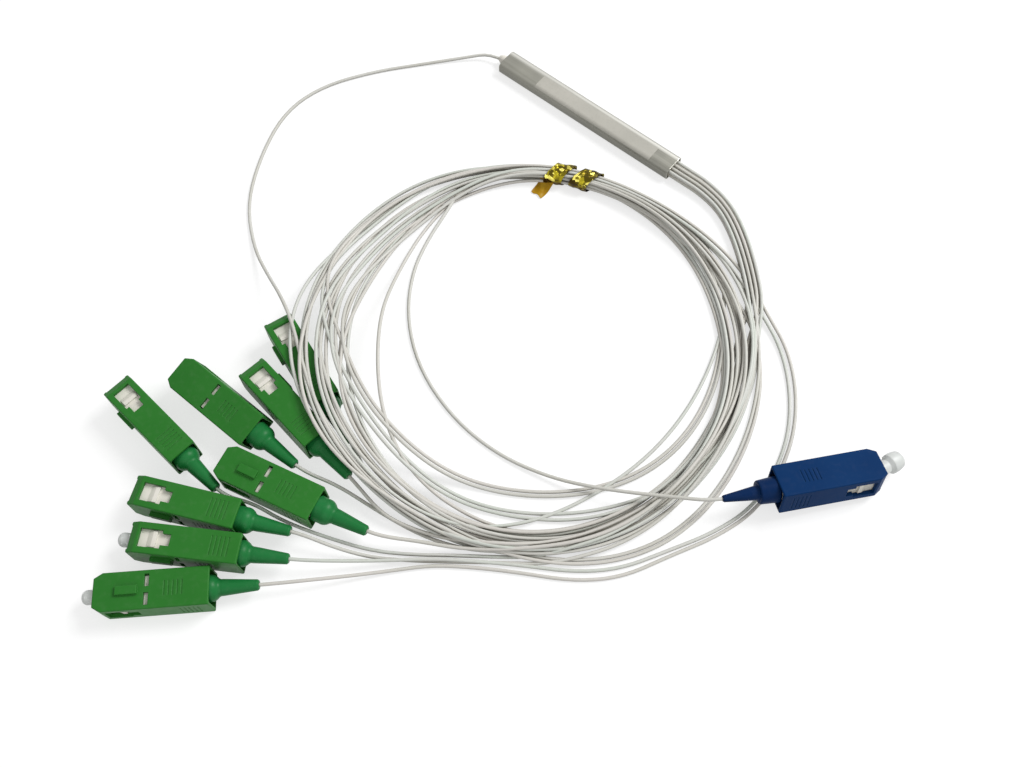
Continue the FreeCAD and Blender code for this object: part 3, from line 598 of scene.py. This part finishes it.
def drifting(tree, colour, other, scale, amount):
    """The base tone of a finish, which drifts between two colours."""
    return use(tree, EFFECTS["drift"], Color=rgba(colour), Other_Color=rgba(other), Scale=scale,
               Amount=amount)["Color"]


def painted(tree, mask, tone, colour):
    """A tone with another colour over it where a mask is."""
    return blended(tree, mask, tone, rgba(colour))


def dusted(tree, tone, scale, amount, colour):
    lying = use(tree, EFFECTS["dust"], Scale=scale, Amount=amount)["Mask"]
    return painted(tree, lying, tone, colour)


def give_skin(tree, into, scale, smoothest, roughest):
    """Lets the fine grain vary the roughness, and gives the grain's height."""
    skin = use(tree, EFFECTS["grain"], Scale=scale)
    tree.links.new(spread(tree, skin["Fleck"], 0.0, 1.0, smoothest, roughest), into["Roughness"])
    return skin["Height"]


def give_bump(tree, into, height, strength, depth, normal=None):
    """Bumps the surface by a height, or the surface with its edges softened."""
    sources = {"Strength": strength, "Distance": depth, "Height": height}
    if normal is not None:
        sources["Normal"] = normal
    tree.links.new(add(tree, "Bump", sources)["Normal"], into["Normal"])


def moulded(name, colour, other, worn, roughness, grain=2600.0, edge=0.00022, dust=0.02,
            **sockets):
    """Moulded plastic or rubber: a drifting tone, rubbed edges, settled dust and a fine skin."""
    material, tree, into = start_material(name, **sockets)
    tone = drifting(tree, colour, other, 70.0, 0.8)
    edges = use(tree, EFFECTS["edges"], Width=edge, Patchiness=0.55)
    tone = painted(tree, worked(tree, "MULTIPLY", edges["Mask"], 0.55), tone, worn)
    tone = dusted(tree, tone, 700.0, dust, (0.55, 0.54, 0.50))
    tree.links.new(tone, into["Base Color"])
    height = give_skin(tree, into, grain, roughness - SHEEN_CHANGE, roughness + SHEEN_CHANGE)
    give_bump(tree, into, height, 0.6, MOULD_GRAIN_DEPTH, edges["Normal"])
    return material


def jacket(name, colour, other):
    """Soft matt cord jacket, yellowed, with painted shade where cords lie close together."""
    material, tree, into = start_material(name, Specular_IOR_Level=0.35)
    tone = drifting(tree, colour, other, 42.0, 0.9)
    tone = dusted(tree, tone, 900.0, 0.16, (0.42, 0.40, 0.34))
    # Painted shade: the jacket colour is darkened where other cords lie close, where shade would
    # fall.
    painted_crevice_shade = use(tree, EFFECTS["crevice"], Distance=PAINTED_SHADE_REACH)["Mask"]
    tone = painted(tree, worked(tree, "MULTIPLY", painted_crevice_shade, PAINTED_SHADE_AMOUNT), tone,
                   (0.24, 0.22, 0.17))
    tree.links.new(tone, into["Base Color"])
    give_bump(tree, into, give_skin(tree, into, 3600.0, 0.38, 0.56), 0.35, 0.00001)
    return material


def drawn_steel():
    """Satin steel drawn along the tube, with a painted highlight along its far rounded top edge and
    painted shade on the near flank.
    """
    material, tree, into = start_material("drawn_steel", Metallic=1.0)
    lines = surface_noise(tree, 900.0, 5.0, (0.02, 1.0, 1.0))[0]
    scuffs = surface_noise(tree, 260.0, 5.0, (0.15, 1.0, 1.0))[0]
    tone = drifting(tree, (0.30, 0.295, 0.255), (0.22, 0.217, 0.19), 70.0, 0.8)
    tone = painted(tree, spread(tree, lines, 0.4, 0.7, 0.0, 0.35), tone, (0.40, 0.395, 0.355))
    across = add(tree, "SeparateXYZ", {"Vector": add(tree, "TexCoord")["Object"]})["Y"]
    # Painted shade: the near flank of the tube is darkened by its place across the tube.
    tone = painted(tree, spread(tree, across, *PAINTED_FLANK_SHADE, 0.0, 0.5), tone, (0.13, 0.128, 0.112))
    # Painted highlight: a bright band along the far rounded top edge, set by the place across the
    # tube.
    painted_highlight = worked(tree, "MULTIPLY", spread(tree, across, *PAINTED_HIGHLIGHT_BEGIN),
                      spread(tree, across, *PAINTED_HIGHLIGHT_END))
    tone = painted(tree, worked(tree, "MULTIPLY", painted_highlight, 0.85), tone, (0.74, 0.73, 0.68))
    edges = use(tree, EFFECTS["edges"], Width=0.00025, Patchiness=0.3)
    tone = painted(tree, worked(tree, "MULTIPLY", edges["Mask"], 0.6), tone, (0.72, 0.71, 0.66))
    tree.links.new(tone, into["Base Color"])
    rough = worked(tree, "ADD", spread(tree, lines, 0.3, 0.7, 0.26, 0.40),
                   spread(tree, scuffs, 0.5, 0.7, 0.0, 0.10))
    tree.links.new(rough, into["Roughness"])
    give_bump(tree, into, lines, 0.5, 0.000012, edges["Normal"])
    return material


def label_film():
    """Grey-white label film, a little rubbed, with nothing printed on it."""
    material, tree, into = start_material("label_film", Specular_IOR_Level=0.3)
    tone = drifting(tree, (0.475, 0.46, 0.41), (0.41, 0.40, 0.355), 110.0, 0.8)
    tone = dusted(tree, tone, 1400.0, 0.25, (0.34, 0.33, 0.29))
    tree.links.new(tone, into["Base Color"])
    give_bump(tree, into, give_skin(tree, into, 5200.0, 0.42, 0.6), 0.5, 0.00002)
    return material


def gold_foil():
    """Metallised film, crumpled, with painted reflections: dark in its folds, painted glints on the
    facets between, and painted shade low down.
    """
    material, tree, into = start_material("gold_foil")
    coarse = use(tree, EFFECTS["creases"], Scale=430.0)
    fine = use(tree, EFFECTS["creases"], Scale=950.0)
    # Painted reflections: dark and bright facet tones stand in for the surroundings the foil would
    # reflect; the brightest facets are painted glints.
    tone = blended(tree, spread(tree, coarse["Facet"], 0.25, 0.9), (0.040, 0.026, 0.004, 1.0),
                   (0.40, 0.33, 0.018, 1.0))
    tone = painted(tree, spread(tree, fine["Facet"], 0.80, 0.90), tone, (0.86, 0.76, 0.16))
    tone = painted(tree, spread(tree, fine["Facet"], 0.30, 0.20), tone, (0.10, 0.075, 0.008))
    # Painted shade: the foil is darkened towards its low side by height.
    above = add(tree, "SeparateXYZ", {"Vector": add(tree, "TexCoord")["Object"]})["Z"]
    tone = painted(tree, spread(tree, above, *PAINTED_FOIL_SHADE, 0.0, 0.85), tone,
                   (0.045, 0.022, 0.004))
    tree.links.new(tone, into["Base Color"])
    tree.links.new(spread(tree, fine["Facet"], 0.0, 1.0, 0.16, 0.34), into["Roughness"])
    tree.links.new(spread(tree, coarse["Facet"], 0.0, 0.2, 0.8, 0.95), into["Metallic"])
    height = worked(tree, "ADD", coarse["Height"], worked(tree, "MULTIPLY", fine["Height"], 0.3))
    give_bump(tree, into, height, 0.6, 0.0003)
    return material


def foil_back():
    """The ochre back of the tie's film."""
    material, tree, into = start_material("ochre_film", Specular_IOR_Level=0.15)
    creases = use(tree, EFFECTS["creases"], Scale=700.0)
    tone = drifting(tree, (0.43, 0.25, 0.006), (0.36, 0.185, 0.004), 260.0, 0.9)
    # Painted highlight: some facets of the creases are made lighter.
    tone = painted(tree, spread(tree, creases["Facet"], 0.7, 1.0, 0.0, 0.3), tone,
                   (0.60, 0.40, 0.03))
    tree.links.new(tone, into["Base Color"])
    give_skin(tree, into, 3000.0, 0.3, 0.46)
    give_bump(tree, into, creases["Height"], 0.4, 0.0001)
    return material


def clear_glass():
    """Polished glass of the chip, its fibre arrays and the fibres."""
    material, tree, into = start_material("clear_glass", Transmission_Weight=1.0, IOR=1.46)
    tone = drifting(tree, (0.90, 0.95, 0.94), (0.80, 0.88, 0.88), 400.0, 0.6)
    tree.links.new(tone, into["Base Color"])
    give_skin(tree, into, 4000.0, 0.02, 0.10)
    return material


def finish_nodes():
    """Gives every node of the frame that stays its own finish."""
    green = moulded("green_plastic", (0.022, 0.162, 0.020), (0.027, 0.180, 0.024),
                    (0.08, 0.29, 0.075), 0.44, Specular_IOR_Level=0.14)
    green_boot = moulded("green_rubber", (0.010, 0.150, 0.034), (0.014, 0.180, 0.044),
                         (0.05, 0.29, 0.10), 0.38, grain=1900.0, Specular_IOR_Level=0.15)
    blue = moulded("blue_plastic", (0.0045, 0.031, 0.112), (0.006, 0.038, 0.130),
                   (0.02, 0.08, 0.21), 0.42, dust=0.008, Specular_IOR_Level=0.03)
    blue_boot = moulded("blue_rubber", (0.003, 0.020, 0.080), (0.004, 0.026, 0.098),
                        (0.015, 0.055, 0.17), 0.38, grain=1900.0, dust=0.008,
                        Specular_IOR_Level=0.05)
    white = moulded("white_plastic", (0.80, 0.77, 0.70), (0.74, 0.71, 0.63), (0.88, 0.87, 0.82),
                    0.42, Specular_IOR_Level=0.4)
    ceramic = moulded("ceramic", (0.84, 0.82, 0.76), (0.80, 0.78, 0.71), (0.88, 0.87, 0.83), 0.18,
                      grain=6000.0, edge=0.0001, dust=0.03)
    cap = moulded("cap_plastic", (0.80, 0.82, 0.80), (0.70, 0.73, 0.71), (0.88, 0.89, 0.88), 0.42,
                  Transmission_Weight=0.3, IOR=1.45)
    cushion = moulded("silicone", (0.80, 0.80, 0.76), (0.72, 0.72, 0.68), (0.85, 0.85, 0.82), 0.5)
    steel, film, glass = drawn_steel(), label_film(), clear_glass()
    chosen = {"grip": (green, blue), "boot": (green_boot, blue_boot), "frame": (white, white),
              "ferrule": (ceramic, ceramic), "cap": (cap, cap)}
    alone = {"steel_tube": steel, "label": film, "chip_cushion": cushion, "input_end_plug": white,
             "output_end_plug": white}
    for name, part in frame["nodes"].items():
        kind = name.rsplit("_", 1)[-1]
        if name in alone:
            finish = alone[name]
        elif name.startswith(tuple(CONNECTORS)) and kind in chosen:
            finish = chosen[kind][1 if name.startswith("input") else 0]
        else:
            finish = glass
        for place in part.material_slots:
            place.material = finish


# ---- label and foil tie ----
LABEL_X, LABEL_Y, LABEL_THICK, LABEL_GAP = (-17.0, 23.5), (-3.15, 1.4), 0.1, 0.005
TUBE_TOP, TUBE_ROUND, TUBE_FLAT_Y = 4.0, 1.4, -2.1
FOIL_STEPS, FOIL_ROWS = 56, 9
FOIL_WIDTH, FOIL_SLANT, FOIL_THICK = 5.0, 31.0, 0.12
FOIL_SQUARE = 2.8       # how square a turn's outline is: 2 is an oval
FOIL_LOOSE_WIDE, FOIL_LOOSE_HIGH, FOIL_LIFT = 0.45, 0.25, 0.2
FOLD_SIZE, FOLD_MIDDLE, WRAP_FOLDS, TAIL_FOLDS = 1.6, 0.45, 0.42, 0.12
TAIL_WIDTH, TAIL_LENGTH, TAIL_CUTS = 4.1, 6.2, 11
TAIL_X, TAIL_END_Y = 5.25, -30.3
TAIL_LOW, TAIL_CLIMB, TAIL_CLIMB_FROM, TAIL_CLIMB_OVER = 0.3, 2.0, 2.6, 3.6


def select_only(piece):
    bpy.ops.object.select_all(action="DESELECT")
    piece.select_set(True)
    bpy.context.view_layer.objects.active = piece


def added(name, add_shape, **settings):
    """A new basic shape round the origin, added with nothing else selected."""
    bpy.ops.object.select_all(action="DESELECT")
    add_shape(location=(0, 0, 0), **settings)
    piece = bpy.context.object
    piece.name = piece.data.name = name
    return piece


def thicken(piece, thickness):
    """A modifier that gives a film its thickness, outwards."""
    wall = piece.modifiers.new("thickness", "SOLIDIFY")
    wall.thickness = thickness * MM
    wall.offset = 1.0


def crumple(piece, strength):
    """Pushes a film's surface in and out, gives it its thickness, and fixes both in its mesh."""
    cloud = bpy.data.textures.new(piece.name + "_folds", "VORONOI")
    cloud.noise_scale = FOLD_SIZE * MM
    cloud.distance_metric = "DISTANCE"
    push = piece.modifiers.new("folds", "DISPLACE")
    push.texture = cloud
    push.texture_coords = "GLOBAL"
    push.strength = strength * MM
    push.mid_level = FOLD_MIDDLE
    thicken(piece, FOIL_THICK)
    select_only(piece)
    for name in ("folds", "thickness"):
        bpy.ops.object.modifier_apply(modifier=name)


def foil_wrap(name, angle, finish):
    """One turn of the tie, drawn tight round the bundle and slanted across it."""
    inner, outer, low = section_at(angle)
    wide = ((outer - inner) / 2 + FOIL_LOOSE_WIDE) * MM
    high = (TIED_HEIGHT / 2 + FOIL_LOOSE_HIGH) * MM
    wrap = added(name, bpy.ops.mesh.primitive_circle_add, vertices=FOIL_STEPS, radius=1.0)
    bpy.ops.object.mode_set(mode="EDIT")
    bpy.ops.mesh.select_all(action="SELECT")
    bpy.ops.transform.resize(value=(wide, high, 1))
    for _ in range(FOIL_ROWS):
        bpy.ops.mesh.extrude_region_move(
            TRANSFORM_OT_translate={"value": (0, 0, FOIL_WIDTH / FOIL_ROWS * MM)})
    bpy.ops.mesh.select_all(action="SELECT")
    bpy.ops.transform.translate(value=(0, 0, -FOIL_WIDTH / 2 * MM))
    bpy.ops.mesh.normals_make_consistent(inside=False)
    bpy.ops.object.mode_set(mode="OBJECT")
    slope = math.tan(math.radians(FOIL_SLANT))
    for corner in wrap.data.vertices:
        u, v = abs(corner.co.x / wide), abs(corner.co.y / high)
        squarer = (u ** FOIL_SQUARE + v ** FOIL_SQUARE) ** (-1 / FOIL_SQUARE)
        corner.co.x *= squarer
        corner.co.y *= squarer
        corner.co.z += slope * corner.co.x
    x, y, _ = on_coil(angle, (inner + outer) / 2, 0)
    wrap.location = (x * MM, y * MM, (low + TIED_HEIGHT / 2 + FOIL_LIFT) * MM)
    wrap.rotation_euler = (math.radians(90), 0, math.radians(angle))
    select_only(wrap)
    bpy.ops.object.transform_apply(location=True, rotation=True, scale=True)
    crumple(wrap, WRAP_FOLDS)
    wrap.data.materials.append(finish)
    return wrap


def foil_tail(finish):
    """The tie's free end: its ochre back shows, and it hangs from the wrap to the ground."""
    tail = added("foil_tie_tail", bpy.ops.mesh.primitive_plane_add, size=1.0)
    bpy.ops.object.mode_set(mode="EDIT")
    bpy.ops.mesh.select_all(action="SELECT")
    bpy.ops.transform.resize(value=(TAIL_WIDTH * MM, TAIL_LENGTH * MM, 1))
    bpy.ops.mesh.subdivide(number_cuts=TAIL_CUTS)
    bpy.ops.object.mode_set(mode="OBJECT")
    for corner in tail.data.vertices:
        across, along = corner.co.x / MM, corner.co.y / MM + TAIL_LENGTH / 2
        near_end = (1 - along / TAIL_LENGTH) ** 3
        notch = near_end * (0.2 * math.cos(across * 2.1 - 0.4) + 0.3)
        climb = TAIL_CLIMB * smooth((along - TAIL_CLIMB_FROM) / TAIL_CLIMB_OVER)
        rise = TAIL_LOW + climb + 0.1 * math.sin(across * 1.9 + along * 0.8)
        across *= 1 - 0.12 * near_end
        corner.co = ((TAIL_X + across) * MM, (TAIL_END_Y + along + notch) * MM, rise * MM)
    crumple(tail, TAIL_FOLDS)
    tail.data.materials.append(finish)
    return tail


def make_label():
    """Label film that lies on the flat top of the tube and turns down over its near edge."""
    film = added("label_film", bpy.ops.mesh.primitive_grid_add, x_subdivisions=2,
                 y_subdivisions=24, size=1.0)
    for corner in film.data.vertices:
        x = LABEL_X[0] + (corner.co.x + 0.5) * (LABEL_X[1] - LABEL_X[0])
        y = LABEL_Y[0] + (corner.co.y + 0.5) * (LABEL_Y[1] - LABEL_Y[0])
        over = max(0.0, TUBE_FLAT_Y - y)
        z = TUBE_TOP - TUBE_ROUND + math.sqrt(TUBE_ROUND ** 2 - over ** 2)
        corner.co = (x * MM, y * MM, (z + LABEL_GAP) * MM)
    thicken(film, LABEL_THICK)
    select_only(film)
    bpy.ops.object.modifier_apply(modifier="thickness")
    film.data.materials.append(label_film())
    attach(film, "root")
    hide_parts("label")


def make_tie():
    """The foil tie: two turns and a loose end."""
    gold, ochre = gold_foil(), foil_back()
    parts = [foil_wrap("foil_tie_first_turn", TIE_ANGLES[1], gold),
             foil_wrap("foil_tie_second_turn", TIE_ANGLES[0], gold), foil_tail(ochre)]
    for piece in parts:
        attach(piece, "root")
        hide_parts("twist_tie")


# ---- room, light and camera ----
WORLD_LIGHT = 0.45
FLOOR_TONE, FLOOR_GLOW, FLOOR_SIZE = 0.42, 0.66, 6.0
ROOM_MIDDLE = (0.03, -0.09, 0.0)
VIEW_PLACE = (0.108285, -0.166410, 0.244304)
VIEW_TILT, VIEW_TURN, VIEW_LENS = 24.889, 39.305, 37.345


def seen_directly(tree, dim, bright):
    """Strength that is bright for the camera, reflections and glass, and dim for other light."""
    ray = add(tree, "LightPath")
    straight = worked(tree, "ADD", ray["Is Camera Ray"], ray["Is Glossy Ray"])
    straight = worked(tree, "ADD", straight, ray["Is Transmission Ray"], True)
    return spread(tree, straight, 0.0, 1.0, dim, bright)


def make_room():
    """A pale floor under the object, which keeps its shadow."""
    bpy.ops.object.select_all(action="DESELECT")
    bpy.ops.mesh.primitive_plane_add(size=FLOOR_SIZE, location=ROOM_MIDDLE)
    floor = bpy.context.object
    floor.name = "floor"
    white, tree, into = start_material("pale_floor", Roughness=0.9, Specular_IOR_Level=0.0)
    into["Base Color"].default_value = (FLOOR_TONE, FLOOR_TONE, FLOOR_TONE, 1.0)
    into["Emission Color"].default_value = (1, 1, 1, 1)
    tree.links.new(seen_directly(tree, 0.0, FLOOR_GLOW), into["Emission Strength"])
    floor.data.materials.append(white)


def area_light(name, place, size, power):
    lamp = bpy.data.lights.new(name, "AREA")
    lamp.size = size
    lamp.energy = power
    holder = bpy.data.objects.new(name, lamp)
    holder.location = place
    aim = Vector(ROOM_MIDDLE) - Vector(place)
    holder.rotation_euler = aim.to_track_quat("-Z", "Y").to_euler()
    bpy.context.scene.collection.objects.link(holder)


def make_lights():
    area_light("key_light", (0.284, 0.608, 0.742), 0.45, 8.4)
    area_light("fill_light", (0.70, -0.60, 0.60), 0.8, 1.8)
    world = bpy.context.scene.world or bpy.data.worlds.new("studio")
    bpy.context.scene.world = world
    world.use_nodes = True
    tree = world.node_tree
    back = tree.nodes["Background"]
    back.inputs["Color"].default_value = (1, 1, 1, 1)
    tree.links.new(seen_directly(tree, WORLD_LIGHT, 1.0), back.inputs["Strength"])


def make_camera():
    """The view from which the whole object is seen, from above and from the lower right."""
    lens = bpy.data.cameras.new("view")
    lens.sensor_width = 36.0
    lens.lens = VIEW_LENS
    lens.clip_start = 0.01
    holder = bpy.data.objects.new("view", lens)
    holder.location = VIEW_PLACE
    holder.rotation_euler = (math.radians(VIEW_TILT), 0.0, math.radians(VIEW_TURN))
    bpy.context.scene.collection.objects.link(holder)
    bpy.context.scene.camera = holder


def main():
    bpy.context.scene.view_settings.view_transform = "Standard"
    make_effects()
    finish_nodes()
    lay_cords([jacket("plain_jacket", (0.63, 0.625, 0.585), (0.56, 0.55, 0.50)),
               jacket("cool_jacket", (0.60, 0.63, 0.575), (0.62, 0.62, 0.585)),
               jacket("warm_jacket", (0.64, 0.615, 0.575), (0.59, 0.58, 0.53))])
    make_label()
    make_tie()
    make_room()
    make_lights()
    make_camera()


main()
